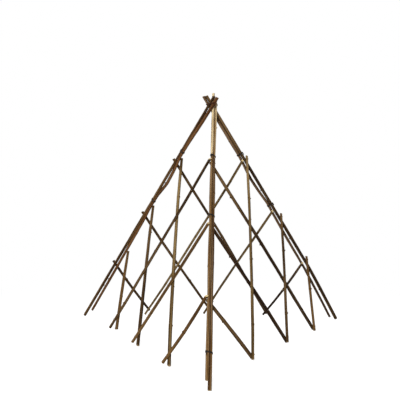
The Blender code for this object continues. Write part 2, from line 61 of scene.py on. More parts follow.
# Centre lines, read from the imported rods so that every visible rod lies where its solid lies

lineValues = {
    "sliceEvery": 9 * mm, "sliceInset": 1.0 * mm, "sliceTurns": 8,
    "knotRise": 0.28 * mm,  # a slice this much thicker than the taper is a knot
    "barkThickness": 0.32 * mm,
    "directionStep": 6 * mm,  # half the stretch over which a rod's direction is taken
    "crossingGap": 5 * mm,  # rods nearer than this count as crossing
    "sideHint": (0.31, 0.67, 0.67),  # a direction that no rod, wire or nail runs along
}


def unit(vector):
    return vector / np.linalg.norm(vector)


def sideAxes(direction):
    first = unit(np.cross(direction, lineValues["sideHint"]))
    return first, np.cross(direction, first)


def roundAngles(count):
    return [2 * pi * j / count for j in range(count)]


def angleOf(direction, across):
    return atan2(direction @ across[1], direction @ across[0])


def around(angle, first, second):
    return cos(angle) * first + sin(angle) * second


def mainAxis(points):
    middle = points.mean(axis=0)
    return middle, np.linalg.svd(points - middle, full_matrices=False)[2][0]


def readRod(node):
    mesh = frame["nodes"][node].data
    points = np.array([vertex.co for vertex in mesh.vertices])
    edges = np.array([edge.vertices for edge in mesh.edges])
    middle, axis = mainAxis(points)
    axis = -axis if axis[2] > 0 else axis  # every rod runs from its top end to its foot
    across = sideAxes(axis)
    along = (points - middle) @ axis
    inset = lineValues["sliceInset"]
    sliceCount = int((along.max() - along.min()) / lineValues["sliceEvery"])
    turnCount = lineValues["sliceTurns"]
    turns = [np.array([cos(t), sin(t)]) for t in np.arange(turnCount) * pi / turnCount]
    starts, ends = points[edges[:, 0]], points[edges[:, 1]]
    centres, radii = [], []
    for level in np.linspace(along.min() + inset, along.max() - inset, sliceCount):
        a, b = along[edges[:, 0]] - level, along[edges[:, 1]] - level
        cut = a * b < 0
        share = (a[cut] / (a[cut] - b[cut]))[:, None]
        ring = starts[cut] + share * (ends[cut] - starts[cut])
        flat = np.stack([(ring - middle) @ across[0], (ring - middle) @ across[1]], axis=1)
        centre = sum((flat @ t).max() * t + (flat @ t).min() * t for t in turns) / len(turns)
        centres.append(middle + level * axis + centre[0] * across[0] + centre[1] * across[1])
        radii.append(np.linalg.norm(flat - centre, axis=1).max())
    centres[0] = centres[0] + inset * unit(centres[0] - centres[1])
    centres[-1] = centres[-1] + inset * unit(centres[-1] - centres[-2])
    centres = np.array(centres)
    lengths = np.concatenate([[0.0], np.cumsum(np.linalg.norm(np.diff(centres, axis=0), axis=1))])
    taper = np.polyval(np.polyfit(lengths, radii, 1), lengths)
    swell = np.array(radii) - taper
    knots = [lengths[i] for i in range(2, len(lengths) - 2)
             if swell[i] > lineValues["knotRise"] and swell[i] == swell[i - 2:i + 3].max()]
    return {"centres": centres, "lengths": lengths, "radii": taper + lineValues["barkThickness"],
            "knots": knots, "crossings": []}


def rodPoint(rod, s):
    return np.array([np.interp(s, rod["lengths"], rod["centres"][:, k]) for k in range(3)])


def rodRadius(rod, s):
    return float(np.interp(s, rod["lengths"], rod["radii"]))


def rodDirection(rod, s):
    step = lineValues["directionStep"]
    return unit(rodPoint(rod, s + step) - rodPoint(rod, s - step))


def lengthAt(rod, offsets, axis):
    # how far down the rod its offsets from a plane pass through zero
    return float(np.interp(0.0, offsets @ axis, rod["lengths"]))


rods = {node: readRod(node) for node in rodNames}


def findCrossing(first, second):
    gaps = np.linalg.norm(first["centres"][:, None] - second["centres"][None], axis=2)
    i, j = np.unravel_index(np.argmin(gaps), gaps.shape)
    return first["lengths"][i], second["lengths"][j], gaps[i, j]


for i, firstName in enumerate(rodNames):
    for secondName in rodNames[i + 1:]:
        first, second = rods[firstName], rods[secondName]
        s, t, gap = findCrossing(first, second)
        if gap < rodRadius(first, s) + rodRadius(second, t) + lineValues["crossingGap"]:
            first["crossings"].append((s, secondName))
            second["crossings"].append((t, firstName))


def legOf(node):
    return node.split("_leg_")[0]


def pairOf(leg):
    return [leg + "_leg_inner_rod", leg + "_leg_outer_rod"]


def legDirection(leg):
    return rodDirection(rods[pairOf(leg)[0]], 0.5)


def nodeMiddle(node):
    low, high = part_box(node)
    return (np.array(low) + np.array(high)) / 2


def outwardOf(node):
    if "_leg_" in node:
        direction = legDirection(legOf(node))
        level = np.array([direction[0], direction[1], 0.0])
        return unit(level - (level @ direction) * direction)
    legA, legB = panelLegs[node.split("_inner_")[0].split("_outer_")[0]]
    return unit(np.cross(legDirection(legA), legDirection(legB)))


print("centre lines read, crossings:", sum(len(rod["crossings"]) for rod in rods.values()) // 2)


# Node helpers

def addNode(tree, kind, **settings):
    node = tree.nodes.new(kind)
    inputs = settings.pop("inputs", {})
    for key, value in settings.items():
        setattr(node, key, value)
    for key, value in inputs.items():
        if isinstance(value, bpy.types.NodeSocket):
            tree.links.new(value, node.inputs[key])
        else:
            node.inputs[key].default_value = value
    return node


def calc(tree, operation, a, b=0.0, clamp=False):
    return addNode(tree, "ShaderNodeMath", operation=operation, use_clamp=clamp, inputs={0: a, 1: b}).outputs[0]


def addUp(tree, start, *parts):
    # the start plus each part times its share
    for value, share in parts:
        start = calc(tree, "ADD", start, calc(tree, "MULTIPLY", value, share))
    return start


def swayed(tree, base, wave, share):
    # the base moved up and down by a noise that runs from 0 to 1
    return addUp(tree, base, (calc(tree, "SUBTRACT", wave, 0.5), share))


def ramp(tree, value, low, high, outLow=0.0, outHigh=1.0, steps="SMOOTHSTEP"):
    return addNode(tree, "ShaderNodeMapRange", interpolation_type=steps, inputs={
        "Value": value, "From Min": low, "From Max": high, "To Min": outLow, "To Max": outHigh}).outputs["Result"]


def blendColour(tree, factor, a, b):
    node = addNode(tree, "ShaderNodeMix", data_type="RGBA", inputs={"Factor": factor, "A": a, "B": b})
    return node.outputs["Result"]


def layered(tree, colour, *layers):
    for factor, tint in layers:
        colour = blendColour(tree, factor, colour, tint)
    return colour


def stretched(tree, vector, scale):
    return addNode(tree, "ShaderNodeVectorMath", operation="MULTIPLY", inputs={0: vector, 1: scale}).outputs[0]


def lengthOf(tree, vector):
    return addNode(tree, "ShaderNodeVectorMath", operation="LENGTH", inputs={0: vector}).outputs["Value"]


def noiseAt(tree, vector, scale, detail=3.0, roughness=0.55):
    node = addNode(tree, "ShaderNodeTexNoise",
                   inputs={"Vector": vector, "Scale": scale, "Detail": detail, "Roughness": roughness})
    return node.outputs["Fac"]


def objectPlace(tree):
    return tree.nodes.new("ShaderNodeTexCoord").outputs["Object"]


def newGroup(name, inputs, outputs):
    tree = bpy.data.node_groups.new(name, "ShaderNodeTree")
    kinds = {"colour": "NodeSocketColor", "value": "NodeSocketFloat", "vector": "NodeSocketVector"}
    for direction, sockets in (("INPUT", inputs), ("OUTPUT", outputs)):
        for kind, labels in sockets.items():
            for label in labels:
                tree.interface.new_socket(label, in_out=direction, socket_type=kinds[kind])
    return tree, tree.nodes.new("NodeGroupInput").outputs, tree.nodes.new("NodeGroupOutput").inputs


def linkAll(tree, sockets, values):
    for label, value in values.items():
        tree.links.new(value, sockets[label])


def rgb(red, green, blue):
    def linear(value):
        value /= 255.0
        return value / 12.92 if value <= 0.04045 else ((value + 0.055) / 1.055) ** 2.4
    return (linear(red), linear(green), linear(blue), 1.0)


# Bark: wrinkles and streaks along the rod, pale pores across it, worn patches and dark knots

# waves per metre across the rod and along it, then detail and roughness
barkGrain = {
    "broad": ((60, 60, 9), 3, 0.55),
    "streaks": ((520, 520, 16), 4, 0.6),
    "wrinkles": ((1150, 1150, 95), 3, 0.6),
    "rings": ((60, 60, 520), 2, 0.5),
    "poreFields": ((40, 40, 14), 3, 0.55),
    "sides": ((190, 190, 3.5), 1, 0.55),
}
# which grain colours the bark, where it starts and is full, how strongly, and with which colour
barkLayers = [
    ("sides", 0.50, 0.38, 0.65, "Dark Streaks"),
    ("sides", 0.50, 0.62, 0.45, "Light Patches"),
    ("streaks", 0.50, 0.72, 0.45, "Dark Streaks"),
    ("streaks", 0.46, 0.28, 0.50, "Light Patches"),
    ("rings", 0.60, 0.70, 0.35, "Dark Streaks"),
]
barkValues = {"poreScale": (210, 210, 150), "poreColour": 0.5, "blotch": 2.4, "knotColour": 0.8,
              "peelEdge": 0.9, "smoothest": 0.62, "roughest": 0.86, "peeledSmoother": 0.08}


def makeBarkGroup():
    tree, given, result = newGroup(
        "willowBark",
        {"vector": ["Rod Space"], "colour": ["Bark", "Dark Streaks", "Light Patches", "Peeled Wood"],
         "value": ["Peel", "Knot", "Tone", "Patchiness"]},
        {"colour": ["Colour"], "value": ["Roughness", "Height"]})
    space = given["Rod Space"]
    grain = {name: noiseAt(tree, stretched(tree, space, scale), 1.0, detail, roughness)
             for name, (scale, detail, roughness) in barkGrain.items()}
    pores = addNode(tree, "ShaderNodeTexVoronoi", feature="F1",
                    inputs={"Vector": stretched(tree, space, barkValues["poreScale"]), "Scale": 1.0})
    poreSpots = calc(tree, "MULTIPLY", ramp(tree, pores.outputs["Distance"], 0.10, 0.24, 1.0, 0.0),
                     ramp(tree, grain["poreFields"], 0.45, 0.62))

    # the tone, which carries the rod's listed tones and the painted shade of a leg's groove, leads to the light or
    # the dark colour, in blotches rather than evenly
    blotch = calc(tree, "MULTIPLY", calc(tree, "SUBTRACT", grain["broad"], 0.5), given["Patchiness"])
    tone = addUp(tree, given["Tone"], (blotch, barkValues["blotch"]))
    lighter = ramp(tree, tone, 0.0, 1.0, steps="LINEAR")
    darker = ramp(tree, tone, 0.0, -1.0, steps="LINEAR")
    knotEdge = swayed(tree, given["Knot"], grain["wrinkles"], 0.5)
    colour = layered(
        tree, given["Bark"], (lighter, given["Light Patches"]), (darker, given["Dark Streaks"]),
        *[(ramp(tree, grain[name], start, full, 0.0, share), given[label])
          for name, start, full, share, label in barkLayers],
        (calc(tree, "MULTIPLY", poreSpots, barkValues["poreColour"]), given["Light Patches"]),
        (ramp(tree, knotEdge, 0.35, 0.85, 0.0, barkValues["knotColour"]), given["Dark Streaks"]))

    # where the bark is peeled off, the fibre shows, with remains of bark in its streaks
    peeled = ramp(tree, swayed(tree, given["Peel"], grain["streaks"], barkValues["peelEdge"]), 0.42, 0.58)
    fibre = layered(
        tree, given["Peeled Wood"], (ramp(tree, grain["sides"], 0.50, 0.36, 0.0, 0.8), given["Light Patches"]),
        (ramp(tree, grain["streaks"], 0.54, 0.72, 0.0, 0.45), given["Bark"]), (darker, given["Bark"]))

    rough = ramp(tree, grain["streaks"], 0.3, 0.7, barkValues["smoothest"], barkValues["roughest"])
    height = addUp(tree, calc(tree, "MULTIPLY", grain["wrinkles"], 0.7), (grain["streaks"], 0.9),
                   (grain["rings"], 0.35), (poreSpots, 0.5), (peeled, -0.7))
    linkAll(tree, result, {"Colour": blendColour(tree, peeled, colour, fibre), "Height": height,
                           "Roughness": addUp(tree, rough, (peeled, -barkValues["peeledSmoother"]))})
    return tree


# Cut ends: growth rings, a pith dot, saw marks, and a weathered rim

endValues = {"ringRate": 4600.0, "ringWarp": 1.2 * mm, "pithFrom": 1.1 * mm, "pithTo": 0.6 * mm,
             "warpScale": 260.0, "speckleScale": 1900.0, "sawScale": (180, 2600, 0)}


def makeEndGroup():
    tree, given, result = newGroup(
        "cutEnd",
        {"vector": ["Rod Space"], "colour": ["Fresh Wood", "Weathered Wood", "Pith"], "value": ["Freshness"]},
        {"colour": ["Colour"], "value": ["Roughness", "Height"]})
    flat = stretched(tree, given["Rod Space"], (1.0, 1.0, 0.0))
    warp = noiseAt(tree, flat, endValues["warpScale"], 2.0)
    radius = swayed(tree, lengthOf(tree, flat), warp, endValues["ringWarp"])
    rings = calc(tree, "SINE", calc(tree, "MULTIPLY", radius, endValues["ringRate"]))
    speckle = noiseAt(tree, flat, endValues["speckleScale"], 4.0, 0.7)
    saw = noiseAt(tree, stretched(tree, given["Rod Space"], endValues["sawScale"]), 1.0, 2.0)
    grime = ramp(tree, addUp(tree, speckle, (warp, 0.5)), 0.62, 0.98, 0.0, 0.5)
    colour = layered(
        tree, given["Weathered Wood"], (given["Freshness"], given["Fresh Wood"]),
        (ramp(tree, rings, 0.2, 1.0, 0.0, 0.4), given["Weathered Wood"]), (grime, given["Weathered Wood"]),
        (ramp(tree, radius, endValues["pithFrom"], endValues["pithTo"]), given["Pith"]))
    height = addUp(tree, calc(tree, "MULTIPLY", rings, 0.3), (saw, 0.8), (speckle, 0.5))
    linkAll(tree, result, {"Colour": colour, "Height": height,
                           "Roughness": ramp(tree, speckle, 0.3, 0.7, 0.7, 0.9)})
    return tree


# Metal: dull surface with rust blooms and dark specks, shared by the wires and the nails

metalValues = {"fineScale": 2600.0, "speck": rgb(18, 14, 12), "bareRough": 0.38, "rustRough": 0.85,
               "bareMetallic": 0.25, "rustMetallic": 0.03}


def makeMetalGroup():
    tree, given, result = newGroup(
        "rustedMetal",
        {"colour": ["Metal", "Rust"], "value": ["Rust Amount", "Scale"]},
        {"colour": ["Colour"], "value": ["Roughness", "Metallic", "Height"]})
    place = objectPlace(tree)
    bloom = noiseAt(tree, place, given["Scale"], 4.0, 0.65)
    fine = noiseAt(tree, place, metalValues["fineScale"], 3.0, 0.6)
    spread = swayed(tree, swayed(tree, bloom, given["Rust Amount"], 0.5), fine, 0.25)
    rust = ramp(tree, spread, 0.46, 0.60)
    colour = layered(tree, given["Metal"], (rust, given["Rust"]),
                     (ramp(tree, fine, 0.5, 0.75, 0.0, 0.5), metalValues["speck"]))
    linkAll(tree, result, {
        "Colour": colour, "Height": calc(tree, "ADD", fine, rust),
        "Roughness": ramp(tree, rust, 0.0, 1.0, metalValues["bareRough"], metalValues["rustRough"]),
        "Metallic": ramp(tree, rust, 0.0, 1.0, metalValues["bareMetallic"], metalValues["rustMetallic"])})
    return tree


barkGroup = makeBarkGroup()
endGroup = makeEndGroup()
metalGroup = makeMetalGroup()

# bark, dark streaks, light patches, peeled wood, patchiness and strength of the bump
barkFinishes = {
    "barkTan": ((120, 89, 50), (58, 36, 16), (152, 126, 94), (236, 212, 164), 0.6, 0.3),
    "barkOlive": ((108, 85, 50), (58, 41, 18), (144, 119, 78), (190, 164, 116), 0.7, 0.3),
    "barkBrown": ((100, 72, 38), (50, 31, 13), (134, 103, 64), (184, 154, 108), 0.7, 0.35),
    "barkReddish": ((98, 63, 32), (50, 27, 11), (134, 96, 60), (180, 146, 104), 0.6, 0.35),
    "barkGreyish": ((106, 80, 55), (54, 35, 21), (142, 116, 88), (206, 182, 136), 0.6, 0.35),
    "barkUmber": ((82, 60, 34), (38, 24, 11), (118, 92, 60), (168, 138, 100), 0.6, 0.35),
    "barkDark": ((60, 40, 20), (27, 15, 6), (94, 71, 44), (148, 120, 86), 0.6, 0.4),
    "barkSooty": ((45, 28, 13), (20, 11, 5), (78, 57, 36), (130, 104, 74), 0.5, 0.4),
}
# fresh wood, weathered wood, pith and bump
endFinish = ((250, 226, 170), (128, 92, 58), (110, 74, 44), 0.35)
# metal, rust, how much of it is rusty, size of the blooms and bump
metalFinishes = {
    "tieWire": ((30, 27, 22), (62, 38, 20), 0.40, 160.0, 0.15),
    "lashingWire": ((50, 38, 28), (78, 44, 22), 0.75, 160.0, 0.15),
    "nailSteel": ((120, 114, 108), (96, 52, 28), 0.55, 260.0, 0.15),
}
# for each kind of surface, how much it shines and how deep its bump is
surfaceValues = {"bark": (0.08, 0.9 * mm), "end": (0.15, 0.4 * mm), "metal": (0.2, 0.2 * mm)}


def newMaterial(name):
    material = bpy.data.materials.new(name)
    material.use_nodes = True
    tree = material.node_tree
    return material, tree, tree.nodes["Principled BSDF"]


def makeSurface(name, kind, groupTree, bumpStrength, inputs):
    # among the inputs, a text is an attribute of the points and three numbers are a colour
    specular, depth = surfaceValues[kind]
    material, tree, shader = newMaterial(name)
    for label, value in inputs.items():
        if isinstance(value, str):
            found = addNode(tree, "ShaderNodeAttribute", attribute_name=value).outputs
            inputs[label] = found["Vector" if value == "rodSpace" else "Fac"]
        elif isinstance(value, tuple):
            inputs[label] = rgb(*value)
    group = addNode(tree, "ShaderNodeGroup", node_tree=groupTree, inputs=inputs).outputs
    bump = addNode(tree, "ShaderNodeBump",
                   inputs={"Strength": bumpStrength, "Distance": depth, "Height": group["Height"]})
    shader.inputs["Specular IOR Level"].default_value = specular
    linkAll(tree, shader.inputs, {"Base Color": group["Colour"], "Roughness": group["Roughness"],
                                  "Normal": bump.outputs["Normal"]})
    if "Metallic" in group:
        linkAll(tree, shader.inputs, {"Metallic": group["Metallic"]})
    return material


materials = {}
for finishName, (bark, dark, light, peeled, patchiness, bump) in barkFinishes.items():
    materials[finishName] = makeSurface(finishName, "bark", barkGroup, bump, {
        "Rod Space": "rodSpace", "Peel": "peel", "Knot": "knot", "Tone": "tone", "Patchiness": patchiness,
        "Bark": bark, "Dark Streaks": dark, "Light Patches": light, "Peeled Wood": peeled})
fresh, weathered, pith, bump = endFinish
materials["cutWood"] = makeSurface("cutWood", "end", endGroup, bump, {
    "Rod Space": "rodSpace", "Freshness": "fresh", "Fresh Wood": fresh, "Weathered Wood": weathered,
    "Pith": pith})
for finishName, (metal, rust, amount, scale, bump) in metalFinishes.items():
    materials[finishName] = makeSurface(finishName, "metal", metalGroup, bump, {
        "Metal": metal, "Rust": rust, "Rust Amount": amount, "Scale": scale})
print("materials made:", len(materials))


def addToScene(name, data):
    holder = bpy.data.objects.new(name, data)
    bpy.context.scene.collection.objects.link(holder)
    return holder


def newPiece(name, points, faces, slotMaterials, sharpAngle):
    mesh = bpy.data.meshes.new(name)
    mesh.from_pydata([tuple(p) for p in points], [], faces)
    for material in slotMaterials:
        mesh.materials.append(material)
    mesh.polygons.foreach_set("use_smooth", [True] * len(faces))
    mesh.set_sharp_from_angle(angle=radians(sharpAngle))
    return addToScene(name, mesh)


def neighbours(ring):
    return zip(ring, ring[1:] + ring[:1])


def quadsBetween(lower, upper):
    return [(a, b, d, c) for (a, b), (c, d) in zip(neighbours(lower), neighbours(upper))]


def tubePiece(name, rings, material, sharpAngle):
    # rings of points joined to a closed tube
    sides = len(rings[0])
    numbers = [list(range(k * sides, (k + 1) * sides)) for k in range(len(rings))]
    faces = [quad for lower, upper in zip(numbers, numbers[1:]) for quad in quadsBetween(lower, upper)]
    faces += [numbers[0][::-1], numbers[-1]]
    return newPiece(name, [point for ring in rings for point in ring], faces, [material], sharpAngle)


# Rods

rodShape = {
    "sides": 20, "ringEvery": 8 * mm, "ringsPerKnot": 6, "endRing": 2.5 * mm, "leastStep": 0.4 * mm,
    "sharpAngle": 42, "driftSeed": 1,
    "wander": 0.28 * mm, "wanderRate": 14.0, "oval": 0.035, "ovalRate": 9.0,
    "ridges": 0.22 * mm, "ridgeRate": 22.0, "ridgeTurn": 3.2, "least": 0.35, "calmEnds": 15 * mm,
    "knotSwell": 0.5 * mm, "knotBump": 1.3 * mm, "knotReach": 9 * mm, "knotSwellReach": 4.95 * mm,
    "bumpLength": 4 * mm, "bumpTurn": 0.55, "knotDark": 5 * mm, "knotDarkTurn": 0.9, "knotSpread": 75,
    "knotSizes": (0.6, 1.0),
    "crossingReach": 12 * mm, "crossingWear": 0.30, "wearReach": 6 * mm, "endFade": 6 * mm,
    "swell": 1.6 * mm, "press": 0.5 * mm, "pressFrom": 60 * mm, "topPress": 25 * mm,
    "rubReach": 44 * mm, "tieReach": 11 * mm,
    # how much painted shade darkens the side of a leg rod that faces its partner
    "paintedGrooveShade": 1.0, "peelFade": 50 * mm,
    "chamfer": 0.5 * mm, "cutSlant": 14.0, "slantReach": 18 * mm, "cutRings": (0.94, 0.62, 0.3),
    "textureStep": 3.0,  # metres of bark between one rod's texture and the next rod's
}
# trimmed twigs: three rings up from inside the bark, as height and width, then the cut face
twigShape = {"radius": 1.9 * mm, "length": 2.08 * mm, "sides": 12, "rootDepth": 1.6 * mm, "rootScale": 1.35,
             "collar": 0.4 * mm, "collarScale": 1.12, "droop": 0.45, "cutInset": 0.2, "cutRise": 0.2 * mm,
             "tipRise": 0.25 * mm, "knotMark": 0.55, "pithOffset": 0.8 * mm}

# finish, tones from top to foot in tenths (10 light, -10 dark), how fresh the cuts are, slant of the top cut,
# peeled length, and how much a leg rod swells away from its partner
plainRod = {"freshTop": 0.25, "freshFoot": 0.3, "topSlant": 12.0, "peelTo": 0.0, "peel": 0.0, "swell": (0.0, 0.0)}


def habit(finish, *tones, **more):
    return {**plainRod, "finish": finish, "tones": [tone / 10 for tone in tones], **more}


frontSwell = (0.0, 0.0, 0.4, 1.0, 1.0, 0.9, 0.5, 0.0, 0.0, 0.0)
rodHabits = {
    "left_leg_outer_rod": habit("barkReddish", 0, 1, -2, -7, 1, 3, 0, 0, freshTop=0.3),
    "left_leg_inner_rod": habit("barkBrown", -5, -8, 3, 11, -4, 0, 1, 2, freshTop=0.2),
    "front_leg_outer_rod": habit("barkTan", 1, -5, -4, 2, -2, -9, -8, -5, -3, -1,
                                 freshTop=1.0, freshFoot=1.0, peelTo=0.30, peel=1.0, swell=frontSwell),
    "front_leg_inner_rod": habit("barkTan", 2, -5, -4, 1, 1, -4, -1, -1, -1, 1,
                                 freshTop=1.0, peelTo=0.32, peel=0.95, swell=frontSwell),
    "right_leg_outer_rod": habit("barkGreyish", 2, 1, 1, -9, 1, 2, 0, -9, -11, -8, freshTop=0.3),
    "right_leg_inner_rod": habit("barkUmber", 12, 11, 8, -10, -11, -8, -7, -9, -8, -5, -3, -2),
    "front_left_outer_rod_1": habit("barkUmber", -10, -10, -9, 0, 1, 1, 4, 4, 12, 14,
                                    freshTop=1.0, topSlant=34.0),
    "front_left_outer_rod_2": habit("barkBrown", -2, 7, 3, 12, freshTop=0.7, topSlant=26.0),
    "front_left_outer_rod_3": habit("barkBrown", -4, -3, 0, 6, freshTop=1.0, topSlant=34.0),
    "front_left_inner_rod_1": habit("barkOlive", -7, 12, 12, 3, 6, 8, 4, -2, -3, -4, -6, -3),
    "front_left_inner_rod_2": habit("barkUmber", 5, 4, -6, -6),
    "front_left_inner_rod_3": habit("barkBrown", -3, -2, 1, -1),
    "front_right_outer_rod_1": habit("barkOlive", 9, 10, -1, -3, -4, -5, -3, 0, -2, -2),
    "front_right_outer_rod_2": habit("barkUmber", 5, -5, 3, -1),
    "front_right_outer_rod_3": habit("barkBrown", 1, 6, 4, -1),
    "front_right_inner_rod_1": habit("barkUmber", 5, 3, -3, -10, -10, -8, -10, -8, -10, -9),
    "front_right_inner_rod_2": habit("barkSooty", 3, -1, -4, -1),
    "front_right_inner_rod_3": habit("barkUmber", 0, 0, 1, 3),
    # the darker finishes of the back's outer rods and of its third inner rod are partly bark colour and partly
    # painted shade of their inner side, the side seen from the front
    "back_inner_rod_1": habit("barkOlive", 0, 2, 7, 7, freshTop=1.0, topSlant=-30.0),
    "back_inner_rod_2": habit("barkOlive", 1, -2, 0, 0, freshTop=1.0, topSlant=-30.0),
    "back_inner_rod_3": habit("barkDark", 2, -9, -10, -9, freshTop=1.0, topSlant=-30.0),
    "back_outer_rod_1": habit("barkUmber", 0, -1, 2, 2),
    "back_outer_rod_2": habit("barkUmber", 0, 0),
    "back_outer_rod_3": habit("barkDark", 3, 0, 0, -5),
}


class RodMesh:
    # marks are what the materials read at each point: knot, peel, fresh and tone
    def __init__(self):
        self.points, self.space, self.marks, self.faces, self.slots = [], [], [], [], []

    def addPoint(self, point, space, knot=0.0, peel=0.0, fresh=0.0, tone=0.0):
        self.points.append(point)
        self.space.append(space)
        self.marks.append((knot, peel, fresh, tone))
        return len(self.points) - 1

    def bridge(self, lower, upper, slot):
        self.faces += quadsBetween(lower, upper)
        self.slots += [slot] * len(lower)

    def closeEnd(self, ring, centre, slot, facing):
        self.faces += [(a, centre, b) if facing else (b, centre, a) for a, b in neighbours(ring)]
        self.slots += [slot] * len(ring)

    def build(self, name, slotMaterials):
        piece = newPiece(name, self.points, self.faces, slotMaterials, rodShape["sharpAngle"])
        attributes = piece.data.attributes
        piece.data.polygons.foreach_set("material_index", self.slots)
        space = attributes.new("rodSpace", "FLOAT_VECTOR", "POINT")
        space.data.foreach_set("vector", np.array(self.space).ravel())
        for label, values in zip(("knot", "peel", "fresh", "tone"), zip(*self.marks)):
            attributes.new(label, "FLOAT", "POINT").data.foreach_set("value", values)
        return piece


def bell(x, width):
    return exp(-(x / width) ** 2)


def turnedFrom(angle, turn, width):
    return bell(remainder(angle - turn, 2 * pi), width)


def softened(value):
    # never less than the least share
    return rodShape["least"] + (1.0 - rodShape["least"]) * value


def rodStations(rod):
    total = rod["lengths"][-1]
    stations = list(np.linspace(0.0, total, int(total / rodShape["ringEvery"]) + 1))
    for knot in rod["knots"]:
        reach = rodShape["knotReach"]
        stations += list(np.linspace(knot - reach, knot + reach, rodShape["ringsPerKnot"] * 2 + 1))
    for inset in (rodShape["chamfer"], rodShape["endRing"]):
        stations += [inset, total - inset]
    stations = sorted(s for s in stations if 0.0 <= s <= total)
    kept = [stations[0]]
    for s in stations[1:]:
        if s - kept[-1] > rodShape["leastStep"]:
            kept.append(s)
    kept[-1] = total
    return kept


def legPairing(node, rod, out):
    # the side of a leg rod that faces away from the other rod of its pair, and where the pair is tied
    leg = legOf(node)
    ties = [lengthAt(rod, rod["centres"] - nodeMiddle(wire), legDirection(leg))
            for wire in frame["nodes"] if wire.startswith(leg + "_leg_") and "_wire" in wire]
    partner = rods[pairOf(leg)["inner" in node]]
    half = rod["lengths"][-1] / 2
    apart = rodPoint(rod, half) - rodPoint(partner, half)
    run = rodDirection(rod, half)
    flatOut = unit(out - (out @ run) * run)
    return angleOf(apart, (flatOut, np.cross(run, flatOut))), ties


